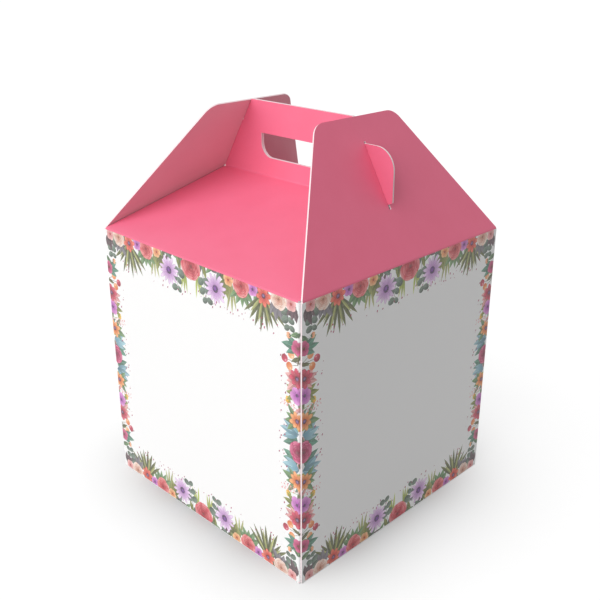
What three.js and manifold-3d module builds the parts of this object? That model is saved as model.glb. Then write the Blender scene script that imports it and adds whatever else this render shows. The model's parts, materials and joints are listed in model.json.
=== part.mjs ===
// A flower box: a carrier carton cut and folded from one blank of thin white-lined board.
// Four walls and a snap-lock bottom make a cube. On top, two gable panels lean in from the side
// walls, and two roof panels rise from the front and back walls to a crease, where each turns up
// into a handle panel. The front handle panel has an ear on each side, which stands out through a
// slit in the gable and locks the lid.
// Millimetres, +Z up, the front wall faces -Y, the origin is the middle of the base.
import * as THREE from "three";
import { mergeVertices } from "three/addons/utils/BufferGeometryUtils.js";
import Module from "manifold-3d";

const wasm = await Module();
wasm.setup();

// Driving dimensions
const BODY_WIDTH = 250;
const BODY_DEPTH = 250;
const BODY_HEIGHT = 250;
const BOARD = 1.5; // thickness of the board
const GAP = 0.3; // between boards that lie against each other, and at each crease

const GABLE_LEAN = THREE.MathUtils.degToRad(30.3); // from upright
const GABLE_TOP_WIDTH = 94;
const GABLE_CORNER_RADIUS = 16;

const ROOF_RISE = 40; // from the walls' top edge to the crease below the handle
const HANDLE_RISE = 67; // from that crease to the handle's top edge

const HOLE_WIDTH = 96;
const HOLE_HEIGHT = 21.5;
const HOLE_DROP = 28.5; // from the handle's top edge to the hand hole's top edge
const HOLE_CORNER_RADIUS = 13; // the two lower corners, the upper ones are square

const EAR_RISE = 47; // from the crease to the ear's top edge
const EAR_LIFT = 1.7; // from the crease to the ear's lower end, along the gable
const EAR_FOOT = 4.2; // how far the ear's outer edge stands out past the gable at its lower end
const EAR_CORNER_RADIUS = 18.5;
const SLIT_OVERRUN = 4; // open length of the slit below the ear

const GLUE_FLAP_WIDTH = 30;
const GLUE_FLAP_TAPER = 12; // its ends slope back by this much

const LOCK_LINE = 8; // where the front bottom flap's tongue turns up, behind the middle
const TONGUE_WIDTH = 100;
const TONGUE_REACH = 30; // how far the tongue lies over the back bottom flap
const BACK_FLAP_LAP = 33; // how far the back bottom flap reaches in front of the lock line
const FLAP_TAPER = 14; // the bottom flaps narrow by this much on each side
const ARC_STEPS = 10; // straight pieces in each rounded corner

// Places worked out from them
const halfWidth = BODY_WIDTH / 2;
const halfDepth = BODY_DEPTH / 2;
const creaseHeight = BODY_HEIGHT + ROOF_RISE;
const handleTop = creaseHeight + HANDLE_RISE;
const panelFront = GAP / 2 + BOARD; // from the middle plane to a handle panel's outer face
const roofSlope = Math.atan(ROOF_RISE / (halfDepth - panelFront));
const gableLength = (ROOF_RISE + HANDLE_RISE) / Math.cos(GABLE_LEAN);
const roofEdgeInset = BOARD + GAP; // from the gable's outer face to the edges that lie against it

const X = new THREE.Vector3(1, 0, 0);
const Y = new THREE.Vector3(0, 1, 0);
const Z = new THREE.Vector3(0, 0, 1);
const ORIGIN = new THREE.Vector3();

const printedBoard = new THREE.MeshStandardMaterial({ color: 0xf8f7f5, roughness: 0.55, metalness: 0 });
const pinkBoard = new THREE.MeshStandardMaterial({ color: 0xf4738f, roughness: 0.5, metalness: 0 });

// The outline given by corners [a, b], as a closed shape.
function polygon(corners) {
  return new THREE.Shape(corners.map(([a, b]) => new THREE.Vector2(a, b)));
}

// A sheet whose outline lies in the plane of the unit axes u and v through the origin given,
// solid from near to far along the normal u x v.
function sheet(outline, { u, v, origin = ORIGIN, near, far }) {
  const settings = { depth: far - near, bevelEnabled: false, curveSegments: ARC_STEPS };
  const geometry = new THREE.ExtrudeGeometry(outline, settings);
  geometry.translate(0, 0, near);
  const normal = new THREE.Vector3().crossVectors(u, v);
  const frame = new THREE.Matrix4().makeBasis(u, v, normal).setPosition(origin);
  return geometry.applyMatrix4(frame);
}

// A closed geometry as a solid that can be cut and joined.
function solid(geometry) {
  const bare = geometry.clone();
  bare.deleteAttribute("normal");
  bare.deleteAttribute("uv");
  const merged = mergeVertices(bare, 1e-4);
  return new wasm.Manifold(
    new wasm.Mesh({
      numProp: 3,
      vertProperties: new Float32Array(merged.attributes.position.array),
      triVerts: new Uint32Array(merged.index.array),
    }),
  );
}

// The solid's surface as a geometry.
function surface(body) {
  const { vertProperties, triVerts } = body.getMesh();
  const geometry = new THREE.BufferGeometry();
  geometry.setAttribute("position", new THREE.BufferAttribute(new Float32Array(vertProperties), 3));
  geometry.setIndex(new THREE.BufferAttribute(new Uint32Array(triVerts), 1));
  const flat = geometry.toNonIndexed();
  flat.computeVertexNormals();
  return flat;
}

function piece(name, geometry, material) {
  const mesh = new THREE.Mesh(geometry, material);
  mesh.name = name;
  return mesh;
}

// A point of a leaning gable, on the side given: along is measured up the gable's outer face from
// its crease, and depth is measured from that face into the box.
function gablePoint(along, depth, side = 1) {
  const sin = Math.sin(GABLE_LEAN);
  const cos = Math.cos(GABLE_LEAN);
  return {
    x: side * (halfWidth - along * sin - depth * cos),
    z: BODY_HEIGHT + along * cos - depth * sin,
  };
}

// Half the width of the roof or handle panel at a height, where its edge lies against the gable.
function edgeX(z) {
  const rise = z - BODY_HEIGHT;
  return halfWidth - rise * Math.tan(GABLE_LEAN) - roofEdgeInset / Math.cos(GABLE_LEAN);
}

// The boards of the bottom lie in layers, the lowest is layer 0.
function layerBase(layer) {
  return layer * (BOARD + GAP);
}

// ---- Walls -------------------------------------------------------------------------------------

// A wall runs along its width from start to end. The top end of its section is mitred, because
// the lid panel folds over it by the turn given.
function wall(name, outward, turn, start, end) {
  const mitre = BOARD * Math.tan(turn / 2);
  const inward = outward.clone().negate();
  const face = Math.abs(outward.x) > 0 ? halfWidth : halfDepth;
  const section = polygon([
    [0, 0],
    [BOARD, 0],
    [BOARD, BODY_HEIGHT - mitre],
    [0, BODY_HEIGHT],
  ]);
  const origin = outward.clone().multiplyScalar(face);
  const geometry = sheet(section, { u: inward, v: Z, origin, near: start, far: end });
  return piece(name, geometry, printedBoard);
}

// Each wall butts with one end against its neighbour's inner face and covers the next one's end.
function walls() {
  const roofTurn = Math.PI / 2 - roofSlope;
  const front = wall("front_wall", Y.clone().negate(), roofTurn, -halfWidth, halfWidth - BOARD);
  const back = wall("back_wall", Y, roofTurn, -halfWidth, halfWidth - BOARD);
  const right = wall("right_wall", X, GABLE_LEAN, -halfDepth, halfDepth - BOARD);
  const left = wall("left_wall", X.clone().negate(), GABLE_LEAN, -halfDepth, halfDepth - BOARD);
  return [front, right, back, left];
}

// The glue flap turns in from the front wall and is bonded to the right wall's inner face.
function glueFlap() {
  const start = -halfDepth + BOARD;
  const end = start + GLUE_FLAP_WIDTH;
  const low = layerBase(3) + BOARD + GAP;
  const high = BODY_HEIGHT - BOARD - GAP;
  const outline = polygon([
    [start, low],
    [end, low + GLUE_FLAP_TAPER],
    [end, high - GLUE_FLAP_TAPER],
    [start, high],
  ]);
  const inner = halfWidth - BOARD;
  return piece("glue_flap", sheet(outline, { u: Y, v: Z, near: inner - BOARD, far: inner }), printedBoard);
}

// ---- Bottom ------------------------------------------------------------------------------------

function flat(outline, layer) {
  const near = layerBase(layer);
  return sheet(outline, { u: X, v: Y, near, far: near + BOARD });
}

// The back flap folds in first and lies highest, with a notch for the tongue.
function backBottomFlap() {
  const wide = halfWidth - BOARD - GAP;
  const rear = halfDepth - BOARD - GAP;
  const freeEdge = LOCK_LINE - BACK_FLAP_LAP;
  const notch = TONGUE_WIDTH / 2 + 2 * GAP;
  const notchEnd = LOCK_LINE + BOARD + 2 * GAP;
  const outline = polygon([
    [-wide, rear],
    [-wide + FLAP_TAPER, freeEdge],
    [-notch, freeEdge],
    [-notch, notchEnd],
    [notch, notchEnd],
    [notch, freeEdge],
    [wide - FLAP_TAPER, freeEdge],
    [wide, rear],
  ]);
  return piece("bottom_flap_back", flat(outline, 2), printedBoard);
}

// The side flaps lie under it and stop short of the tongue.
function sideBottomFlap(name, side) {
  const wide = halfWidth - BOARD - GAP;
  const long = halfDepth - BOARD - 2 * GAP;
  const inner = TONGUE_WIDTH / 2 + 4 * GAP;
  const slope = 2 * FLAP_TAPER;
  const outline = polygon([
    [side * wide, -long],
    [side * wide, long],
    [side * inner, long - slope],
    [side * inner, slope - long],
  ]);
  return piece(name, flat(outline, 1), printedBoard);
}

// The front flap closes the bottom from below: its tongue turns up through the notch and lies on
// the back flap.
function frontBottomFlap() {
  const wide = halfWidth - BOARD - GAP;
  const front = BOARD + GAP - halfDepth;
  const half = TONGUE_WIDTH / 2;
  const end = LOCK_LINE + BOARD;
  const plate = polygon([
    [-wide, front],
    [wide, front],
    [wide - FLAP_TAPER, end],
    [FLAP_TAPER - wide, end],
  ]);
  const tongueTop = layerBase(3) + BOARD;
  const hook = polygon([
    [LOCK_LINE, 0],
    [end, 0],
    [end, layerBase(3)],
    [end + TONGUE_REACH, layerBase(3)],
    [end + TONGUE_REACH, tongueTop],
    [LOCK_LINE, tongueTop],
  ]);
  const tongue = sheet(hook, { u: Y, v: Z, near: -half, far: half });
  const whole = solid(flat(plate, 0)).add(solid(tongue));
  return piece("bottom_flap_front", surface(whole), printedBoard);
}

// ---- Lid ---------------------------------------------------------------------------------------

// A block that fills everything outside the plane where the lid's edges lie against a gable.
function beyondGable(side) {
  const reach = 2 * (BODY_WIDTH + BODY_DEPTH + handleTop);
  const block = new THREE.BoxGeometry(reach, reach, reach);
  block.translate((side * reach) / 2, 0, 0);
  block.rotateY(-side * GABLE_LEAN);
  const edge = gablePoint(0, roofEdgeInset, side);
  block.translate(edge.x, 0, edge.z);
  return solid(block);
}

// A roof panel, from the wall it is creased to, up to the crease below the handle.
function roof(name, side) {
  const mitre = BOARD * Math.tan((Math.PI / 2 - roofSlope) / 2);
  const length = ROOF_RISE / Math.sin(roofSlope) - GAP / 2;
  const inward = side * -Math.cos(roofSlope);
  const up = new THREE.Vector3(0, inward, Math.sin(roofSlope));
  const normal = new THREE.Vector3().crossVectors(up, X).multiplyScalar(side);
  const section = polygon([
    [GAP, 0],
    [length, 0],
    [length, -BOARD],
    [mitre + GAP, -BOARD],
  ]);
  const origin = new THREE.Vector3(0, side * halfDepth, BODY_HEIGHT);
  const strip = sheet(section, { u: up, v: normal, origin, near: -halfWidth, far: halfWidth });
  const panel = solid(strip).subtract(beyondGable(1)).subtract(beyondGable(-1));
  return piece(name, surface(panel), pinkBoard);
}

// The hand hole's outline, drawn smaller by the inset on every side.
function holeOutline(Outline, inset) {
  const top = handleTop - HOLE_DROP - inset;
  const bottom = handleTop - HOLE_DROP - HOLE_HEIGHT + inset;
  const half = HOLE_WIDTH / 2 - inset;
  const r = HOLE_CORNER_RADIUS;
  const outline = new Outline();
  outline.moveTo(half, top);
  outline.lineTo(-half, top);
  outline.absarc(r - half, bottom + r, r, Math.PI, 1.5 * Math.PI, false);
  outline.absarc(half - r, bottom + r, r, 1.5 * Math.PI, 2 * Math.PI, false);
  return outline;
}

// A handle panel, with edges that follow the gables and a hand hole.
function handle(name, side) {
  const bottom = creaseHeight + GAP / 2;
  const outline = polygon([
    [-edgeX(bottom), bottom],
    [edgeX(bottom), bottom],
    [edgeX(handleTop), handleTop],
    [-edgeX(handleTop), handleTop],
  ]);
  outline.holes.push(holeOutline(THREE.Path, 0));
  const inner = side * (GAP / 2);
  const outer = side * panelFront;
  const near = Math.min(-inner, -outer);
  return piece(name, sheet(outline, { u: X, v: Z, near, far: near + BOARD }), pinkBoard);
}

const earStart = ROOF_RISE / Math.cos(GABLE_LEAN) + EAR_LIFT;
const earTop = creaseHeight + EAR_RISE;

// An ear carries the front handle panel on, out through the gable. Its lower edge is an arc about
// the gable's crease, so that the slit's end clears it as the gable swings out.
function ear(name, side) {
  const foot = gablePoint(earStart, roofEdgeInset);
  const radius = Math.hypot(earStart, roofEdgeInset);
  const outerX = gablePoint(earStart, 0).x + EAR_FOOT;
  const r = EAR_CORNER_RADIUS;
  const footAngle = Math.atan2(foot.z - BODY_HEIGHT, foot.x - halfWidth);
  const outerAngle = Math.acos((outerX - halfWidth) / radius);
  const outline = new THREE.Shape();
  outline.moveTo(foot.x, foot.z);
  outline.absarc(halfWidth, BODY_HEIGHT, radius, footAngle, outerAngle, true);
  outline.absarc(outerX - r, earTop - r, r, 0, Math.PI / 2, false);
  outline.lineTo(edgeX(earTop), earTop);
  const mesh = piece(name, sheet(outline, { u: X, v: Z, near: GAP / 2, far: panelFront }), pinkBoard);
  mesh.scale.x = side;
  return mesh;
}

// The hand hole's flap is creased to the back handle panel at the hole's top edge, and lies
// folded up against its rear face.
function handFlap() {
  const closed = sheet(holeOutline(THREE.Shape, GAP), { u: X, v: Z, near: -panelFront, far: -GAP / 2 });
  const mesh = piece("hand_flap", closed, pinkBoard);
  const hinge = new THREE.Group();
  hinge.position.set(0, panelFront + GAP / 2, handleTop - HOLE_DROP);
  mesh.position.copy(hinge.position).negate();
  hinge.rotation.x = Math.PI;
  hinge.add(mesh);
  return hinge;
}

// A gable panel: a leaning trapezoid with two rounded corners, mitred at its crease, and slit at
// the middle for the ear.
function gable(name, side) {
  const up = new THREE.Vector3(-side * Math.sin(GABLE_LEAN), 0, Math.cos(GABLE_LEAN));
  const inward = new THREE.Vector3().crossVectors(Y, up).multiplyScalar(-side);
  const origin = new THREE.Vector3(side * halfWidth, 0, BODY_HEIGHT);
  const mitre = BOARD * Math.tan(GABLE_LEAN / 2);
  const section = polygon([
    [GAP, 0],
    [gableLength, 0],
    [gableLength, BOARD],
    [mitre + GAP, BOARD],
  ]);
  const half = halfDepth - BOARD;
  const leaf = solid(sheet(section, { u: up, v: inward, origin, near: -half, far: half }));

  // The slanted edges turn into the top edge through arcs that touch both.
  const topHalf = GABLE_TOP_WIDTH / 2;
  const edgeAngle = Math.atan2(gableLength, half - topHalf);
  const r = GABLE_CORNER_RADIUS;
  const centreY = topHalf - r * Math.tan(edgeAngle / 2);
  const centreS = gableLength - r;
  const outline = new THREE.Shape();
  outline.moveTo(-half, 0);
  outline.lineTo(half, 0);
  outline.absarc(centreY, centreS, r, Math.PI / 2 - edgeAngle, Math.PI / 2, false);
  outline.absarc(-centreY, centreS, r, Math.PI / 2, Math.PI / 2 + edgeAngle, false);
  const through = { u: Y, v: up, origin, near: -2 * BOARD, far: 2 * BOARD };

  const slitStart = earStart - SLIT_OVERRUN;
  const earTopAlong = (earTop - BODY_HEIGHT + roofEdgeInset * Math.sin(GABLE_LEAN)) / Math.cos(GABLE_LEAN);
  const slitEnd = earTopAlong + 2 * GAP;
  const slit = polygon([
    [-panelFront - GAP, slitStart],
    [GAP / 2, slitStart],
    [GAP / 2, slitEnd],
    [-panelFront - GAP, slitEnd],
  ]);
  const panel = leaf.intersect(solid(sheet(outline, through))).subtract(solid(sheet(slit, through)));
  return piece(name, surface(panel), pinkBoard);
}

const box = new THREE.Group();
const body = new THREE.Group();
body.add(...walls(), glueFlap());
body.add(backBottomFlap(), frontBottomFlap());
body.add(sideBottomFlap("bottom_flap_left", -1), sideBottomFlap("bottom_flap_right", 1));
const lid = new THREE.Group();
lid.add(gable("gable_left", -1), gable("gable_right", 1));
lid.add(roof("roof_front", -1), roof("roof_back", 1));
lid.add(handle("handle_front", -1), handle("handle_back", 1));
lid.add(ear("ear_left", -1), ear("ear_right", 1), handFlap());
box.add(body, lid);

export default box;
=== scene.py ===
"""The flower box in its finished looks: printed walls, a pink folded lid and soft rounded creases.

Metres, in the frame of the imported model: +Z up, the front wall faces -Y, and the origin is the
middle of the base. The border printed on the walls is drawn in millimetres on a flat wall.
"""

import json
import math
import random

import bmesh
import bpy
import numpy as np
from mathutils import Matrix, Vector
from mathutils.geometry import delaunay_2d_cdt


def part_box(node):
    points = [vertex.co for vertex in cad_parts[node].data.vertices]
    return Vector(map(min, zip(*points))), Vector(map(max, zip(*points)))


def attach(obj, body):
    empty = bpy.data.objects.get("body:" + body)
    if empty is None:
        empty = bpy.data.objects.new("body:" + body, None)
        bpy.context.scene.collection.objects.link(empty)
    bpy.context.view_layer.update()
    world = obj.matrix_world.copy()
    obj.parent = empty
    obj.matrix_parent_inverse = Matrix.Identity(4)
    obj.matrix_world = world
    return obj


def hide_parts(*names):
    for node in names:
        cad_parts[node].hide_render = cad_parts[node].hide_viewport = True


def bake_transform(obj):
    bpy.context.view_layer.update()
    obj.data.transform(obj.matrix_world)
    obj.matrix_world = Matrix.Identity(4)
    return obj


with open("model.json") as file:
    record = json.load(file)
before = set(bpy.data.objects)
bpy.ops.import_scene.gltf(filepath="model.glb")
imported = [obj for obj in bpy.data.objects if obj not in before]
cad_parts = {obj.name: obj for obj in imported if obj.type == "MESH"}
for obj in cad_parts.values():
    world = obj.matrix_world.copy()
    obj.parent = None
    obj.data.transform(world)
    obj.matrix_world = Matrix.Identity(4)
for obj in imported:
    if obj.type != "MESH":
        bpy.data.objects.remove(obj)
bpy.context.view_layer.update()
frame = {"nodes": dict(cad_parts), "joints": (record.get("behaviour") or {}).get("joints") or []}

MM = 0.001
X, Y, Z = Vector((1, 0, 0)), Vector((0, 1, 0)), Vector((0, 0, 1))

# Sizes that the frame gives
crease = {joint["name"]: Vector(joint["pos_m"]) for joint in frame["joints"]}
HALF = crease["gable_right_crease"].x
WALL_TOP = crease["gable_right_crease"].z
RIDGE = -crease["handle_front_crease"].y
RIDGE_HEIGHT = crease["handle_front_crease"].z
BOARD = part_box("right_wall")[1].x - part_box("right_wall")[0].x
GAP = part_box("handle_back")[0].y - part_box("handle_front")[1].y
HANDLE_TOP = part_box("handle_front")[1].z
EAR_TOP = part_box("ear_right")[1].z
EAR_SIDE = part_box("ear_right")[1].x
GLUE_FLAP_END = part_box("glue_flap")[1].y
FLAP_TOPS = {side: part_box("bottom_flap_" + side)[1].z for side in ("left", "right", "back")}
SLOPE = math.atan2(RIDGE_HEIGHT - WALL_TOP, HALF - RIDGE)

# Sizes of the lid's own shapes
LEAN = math.radians(30.3)
GABLE_TOP_WIDTH = 94 * MM
GABLE_CORNER = 16 * MM
HOLE_WIDTH, HOLE_HEIGHT = 96 * MM, 21.5 * MM
HOLE_TOP = crease["hand_flap_crease"].z
HOLE_CORNER = 13 * MM
EAR_LIFT = 1.7 * MM
EAR_CORNER = 18.5 * MM
SLIT_OVERRUN = 4 * MM
GLUE_FLAP_TAPER = 12 * MM

# Sizes of the finish
FOLD = 1.0 * MM  # board that each crease takes from a panel
CORNER_FOLD = 2.0 * MM  # the same at the corners between the walls
EDGE_BEVEL = 0.22 * MM
RAW_EDGE_SETBACK = 1.2 * MM
FOLD_STEPS = 8
FOLD_ROWS = 165  # rows of ink up a fold
ARC_STEPS = 24
SHARP = math.radians(25)
EDGE_FACING = 0.3  # faces turned further than this from the panel are its cut edge


# ---- Materials -----------------------------------------------------------------------------------


def ink(code):
    """A colour code of six hex digits as a linear colour."""
    shares = [int(code[i : i + 2], 16) / 255 for i in (0, 2, 4)]
    return [s / 12.92 if s <= 0.04045 else ((s + 0.055) / 1.055) ** 2.4 for s in shares]


class Wire:
    """A node's output that can be added, subtracted and multiplied."""

    def __init__(self, finish, socket):
        self.finish = finish
        self.socket = socket

    def _sum(self, operation, first, second):
        return self.finish.node("ShaderNodeMath", {"operation": operation}, {0: first, 1: second})

    def __add__(self, other):
        return self._sum("ADD", self, other)

    __radd__ = __add__

    def __sub__(self, other):
        return self._sum("SUBTRACT", self, other)

    def __rsub__(self, other):
        return self._sum("SUBTRACT", other, self)

    def __mul__(self, other):
        return self._sum("MULTIPLY", self, other)

    __rmul__ = __mul__


class Finish:
    """The nodes of a material or of the world, made one at a time."""

    def __init__(self, owner):
        owner.use_nodes = True
        self.owner = owner
        self.tree = owner.node_tree
        self.tree.nodes.clear()

    def node(self, kind, settings=None, inputs=None, outlet=0):
        made = self.tree.nodes.new(kind)
        for key, value in (settings or {}).items():
            if key == "stops":
                ramp = made.color_ramp
                while len(ramp.elements) < len(value):
                    ramp.elements.new(0.5)
                for element, (place, colour) in zip(ramp.elements, value):
                    element.position = place
                    element.color = (*colour, 1)
            else:
                setattr(made, key, value)
        for key, value in (inputs or {}).items():
            if isinstance(value, Wire):
                self.tree.links.new(value.socket, made.inputs[key])
            else:
                made.inputs[key].default_value = value
        return Wire(self, made.outputs[outlet]) if made.outputs else None

    def mix(self, share, first, second, blend="MIX"):
        """Two colours mixed by a share of the second."""
        ends = {
            key: value if isinstance(value, Wire) else (*value, 1)
            for key, value in ((6, first), (7, second))
        }
        settings = {"data_type": "RGBA", "blend_type": blend}
        return self.node("ShaderNodeMix", settings, {0: share, **ends}, 2)

    def place(self):
        return self.node("ShaderNodeTexCoord", outlet="Object")

    def noise(self, place, size, detail=2.0, roughness=0.5):
        """Noise from 0 to 1 whose blotches are about the size given, in metres."""
        inputs = {"Vector": place, "Scale": 1 / size, "Detail": detail, "Roughness": roughness}
        return self.node("ShaderNodeTexNoise", {}, inputs, "Fac")

    def bump(self, height, distance, strength=1.0):
        inputs = {"Height": height, "Distance": distance, "Strength": strength}
        return self.node("ShaderNodeBump", {}, inputs, "Normal")

    def end(self, kind, shader):
        """Ends the material or the world with its shader."""
        self.node(kind, {}, {"Surface": shader})
        return self.owner

    def paper(self, colour, roughness, normal, coat=0.0):
        """Ends the material with a paper surface."""
        inputs = {
            "Base Color": colour,
            "Roughness": roughness,
            "Normal": normal,
            "Coat Weight": coat,
            "Coat Roughness": 0.35,
        }
        shader = self.node("ShaderNodeBsdfPrincipled", {}, inputs, "BSDF")
        return self.end("ShaderNodeOutputMaterial", shader)


def paper_relief(finish, place):
    """Fine fibres, and the slight swell of board that is glued to a fluted core."""
    fibres = finish.noise(place, 0.35 * MM, detail=3, roughness=0.6)
    swell = finish.noise(place, 18 * MM, detail=1)
    return finish.bump(fibres * 0.010 + swell * 0.25, 0.4 * MM, 0.6)


def pink_face(name, darker, lighter, coat):
    """A pink face of the board, which is a little uneven in tone."""
    finish = Finish(bpy.data.materials.new(name))
    place = finish.place()
    cloud = finish.noise(place, 22 * MM, detail=3)
    grain = finish.noise(place, 0.5 * MM, detail=2)
    colour = finish.mix(cloud, ink(darker), ink(lighter))
    colour = finish.mix(grain * 0.10, colour, ink("fbb3c1"))
    roughness = 0.40 + cloud * 0.08 + grain * 0.06
    return finish.paper(colour, roughness, paper_relief(finish, place), coat)


def white_face():
    """Plain white liner, as on the bottom flaps and the glue flap."""
    finish = Finish(bpy.data.materials.new("white_liner"))
    place = finish.place()
    grain = finish.noise(place, 0.5 * MM, detail=2)
    colour = finish.mix(grain, ink("fbfaf9"), ink("ffffff"))
    return finish.paper(colour, 0.46 + grain * 0.08, paper_relief(finish, place))


def printed_face():
    """White liner with the floral border in washes of ink. The mesh attribute holds the ink."""
    finish = Finish(bpy.data.materials.new("floral_print"))
    place = finish.place()
    print_colour = finish.node("ShaderNodeAttribute", {"attribute_name": "ink"}, outlet="Color")
    coverage = finish.node("ShaderNodeAttribute", {"attribute_name": "ink"}, outlet="Alpha")
    wash = finish.noise(place, 2.6 * MM, detail=4, roughness=0.62)
    grain = finish.noise(place, 0.5 * MM, detail=2)
    paper = finish.mix(grain, ink("fbfaf9"), ink("ffffff"))
    pooled = finish.mix(wash * 0.55, print_colour, print_colour, "MULTIPLY")
    thinned = finish.mix(wash * wash * 0.34, pooled, ink("fbf4ee"))
    colour = finish.mix(coverage, paper, thinned)
    roughness = 0.48 + grain * 0.08 - coverage * 0.06
    return finish.paper(colour, roughness, paper_relief(finish, place))


def cut_edge():
    """The raw cut edge: pale pulp between two liners."""
    finish = Finish(bpy.data.materials.new("cut_edge"))
    place = finish.place()
    pulp = finish.noise(place, 0.6 * MM, detail=4, roughness=0.7)
    colour = finish.mix(pulp, ink("ecdcde"), ink("fbebee"))
    return finish.paper(colour, 0.75 + pulp * 0.15, finish.bump(pulp, 0.15 * MM, 0.7))


PINK = pink_face("pink_print", "e96585", "ee6f8f", coat=0.12)
REVERSE = pink_face("pink_reverse", "e2b8c2", "e9c3cb", coat=0.0)
WHITE, PRINTED, EDGE = white_face(), printed_face(), cut_edge()


# ---- Board pieces --------------------------------------------------------------------------------


def arc(centre_a, centre_b, radius, start, end, steps=ARC_STEPS):
    """Points on an arc, both ends included."""
    turns = [start + (end - start) * i / steps for i in range(steps + 1)]
    return [(centre_a + radius * math.cos(t), centre_b + radius * math.sin(t)) for t in turns]


def bezier(start, corner, end, steps=FOLD_STEPS):
    """Points on a curve that leaves start towards the corner and arrives at end from it."""
    shares = [i / steps for i in range(steps + 1)]
    return [(1 - t) ** 2 * start + 2 * t * (1 - t) * corner + t * t * end for t in shares]


def piece(name, bm, finishes, body=None, stands_for=()):
    """Makes the finished mesh an object of that name, which rides on the body."""
    bmesh.ops.recalc_face_normals(bm, faces=bm.faces[:])
    mesh = bpy.data.meshes.new(name)
    bm.to_mesh(mesh)
    bm.free()
    made = bpy.data.objects.new(name, mesh)
    bpy.context.scene.collection.objects.link(made)
    for finish in finishes:
        mesh.materials.append(finish)
    if stands_for:
        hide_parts(*stands_for)
    if body:
        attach(made, body)
    return made


def soften(bm, normal):
    """Bevels the sharp edges and gives every face that isn't flat in the panel the cut edge."""
    sharp = [edge for edge in bm.edges if edge.calc_face_angle(0) > SHARP]
    bmesh.ops.bevel(
        bm,
        geom=sharp,
        offset=EDGE_BEVEL,
        segments=2,
        profile=0.5,
        affect="EDGES",
        material=-1,
        clamp_overlap=True,
    )
    bmesh.ops.recalc_face_normals(bm, faces=bm.faces[:])
    bm.normal_update()
    for face in bm.faces:
        facing = face.normal.dot(normal)
        face.material_index = 1 if abs(facing) < EDGE_FACING else 0 if facing > 0 else 2


def board(name, outline, origin, u, v, body, stands_for, holes=(), mitre=0.0, outer=None):
    """A panel whose outline lies on its outer face, in the plane of u and v through the origin.
    Its inner face starts later than the outer one by the mitre, along v."""
    normal = u.cross(v)
    bm = bmesh.new()
    for loop in (outline, *holes):
        corners = [bm.verts.new(origin + a * u + b * v) for a, b in loop]
        for corner, following in zip(corners, corners[1:] + corners[:1]):
            bm.edges.new((corner, following))
    bmesh.ops.triangle_fill(bm, use_beauty=True, use_dissolve=False, edges=bm.edges[:], normal=normal)
    made = bmesh.ops.extrude_face_region(bm, geom=bm.faces[:])["geom"]
    inner = [part for part in made if isinstance(part, bmesh.types.BMVert)]
    lowest = min((vert.co - origin).dot(v) for vert in inner)
    at_start = [vert for vert in inner if (vert.co - origin).dot(v) < lowest + 0.01 * MM]
    bmesh.ops.translate(bm, verts=inner, vec=-BOARD * normal)
    bmesh.ops.translate(bm, verts=at_start, vec=mitre * v)
    bmesh.ops.recalc_face_normals(bm, faces=bm.faces[:])
    soften(bm, normal)
    return piece(name, bm, [outer or PINK, EDGE, REVERSE], body, stands_for)


def fold(
    name, corner, first, second, axis, low, high, face, slot, bodies, valley=False, dye=None, reach=FOLD
):
    """The creased strip between two panels that meet at the corner: first and second point from
    it along their outer faces. A valley fold has its outer faces on the hollow side. Reach is
    how much of each panel the strip takes."""
    turn = math.pi - first.angle(second)
    offset = BOARD * math.tan(turn / 2)
    side = -1 if valley else 1
    across_first = side * (second - second.dot(first) * first).normalized()
    across_second = side * (first - first.dot(second) * second).normalized()
    start_offset = 0 if valley else offset
    outer = bezier(corner + reach * first, corner, corner + reach * second)
    inner = bezier(
        corner + (reach + start_offset) * first + BOARD * across_first,
        corner + BOARD * across_first + side * offset * first,
        corner + (reach + start_offset) * second + BOARD * across_second,
    )
    made = strip(name, outer, inner, axis, low, high, face, dye)
    if len(bodies) == 1:
        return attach(made, bodies[0])
    start, end = outer[0] + low * axis, outer[-1] + low * axis
    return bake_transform(made)


def strip(name, outer, inner, axis, low, high, face, dye=None):
    """A strip of board whose section lies between an outer and an inner path. Its outer side has
    the given finish, and dye, if given, inks it."""
    bm = bmesh.new()
    loop = [bm.verts.new(point + low * axis) for point in outer + inner[::-1]]
    section = bm.faces.new(loop)
    made = bmesh.ops.extrude_face_region(bm, geom=[section])["geom"]
    far = [part for part in made if isinstance(part, bmesh.types.BMVert)]
    bmesh.ops.translate(bm, verts=far, vec=(high - low) * axis)
    bmesh.ops.recalc_face_normals(bm, faces=bm.faces[:])
    middles = []
    for index, path in enumerate((outer, inner)):
        for start, end in zip(path, path[1:]):
            middle = start.lerp(end, 0.5)
            middles.append((index, middle - middle.dot(axis) * axis))
    for side in bm.faces:
        if abs(side.normal.dot(axis)) > 0.5:
            side.material_index = 2
            continue
        centre = side.calc_center_median()
        centre -= centre.dot(axis) * axis
        near = min(middles, key=lambda middle: (middle[1] - centre).length)
        side.material_index = near[0]
    if dye:
        dye(bm)
    return piece(name, bm, [face, REVERSE, EDGE])


def edge_x(height):
    """Half the width of the roof and handle panels at a height, where they meet the gables."""
    return HALF - (height - WALL_TOP) * math.tan(LEAN) - (BOARD + GAP) / math.cos(LEAN)


EAR_START = (RIDGE_HEIGHT - WALL_TOP) / math.cos(LEAN) + EAR_LIFT  # along the gable's outer face


def hole_outline(inset=0.0, flip=False):
    """The hand hole: square upper corners and round lower ones. Flipped, it is the flap that was
    cut from it and is folded up about the hole's top edge."""
    top = HOLE_TOP - inset
    bottom = HOLE_TOP - HOLE_HEIGHT + inset
    half = HOLE_WIDTH / 2 - inset
    left = arc(HOLE_CORNER - half, bottom + HOLE_CORNER, HOLE_CORNER, math.pi, 1.5 * math.pi)
    right = arc(half - HOLE_CORNER, bottom + HOLE_CORNER, HOLE_CORNER, 1.5 * math.pi, 2 * math.pi)
    points = [(half, top), (-half, top), *left, *right]
    return [(a, 2 * HOLE_TOP - b) for a, b in points] if flip else points


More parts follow.
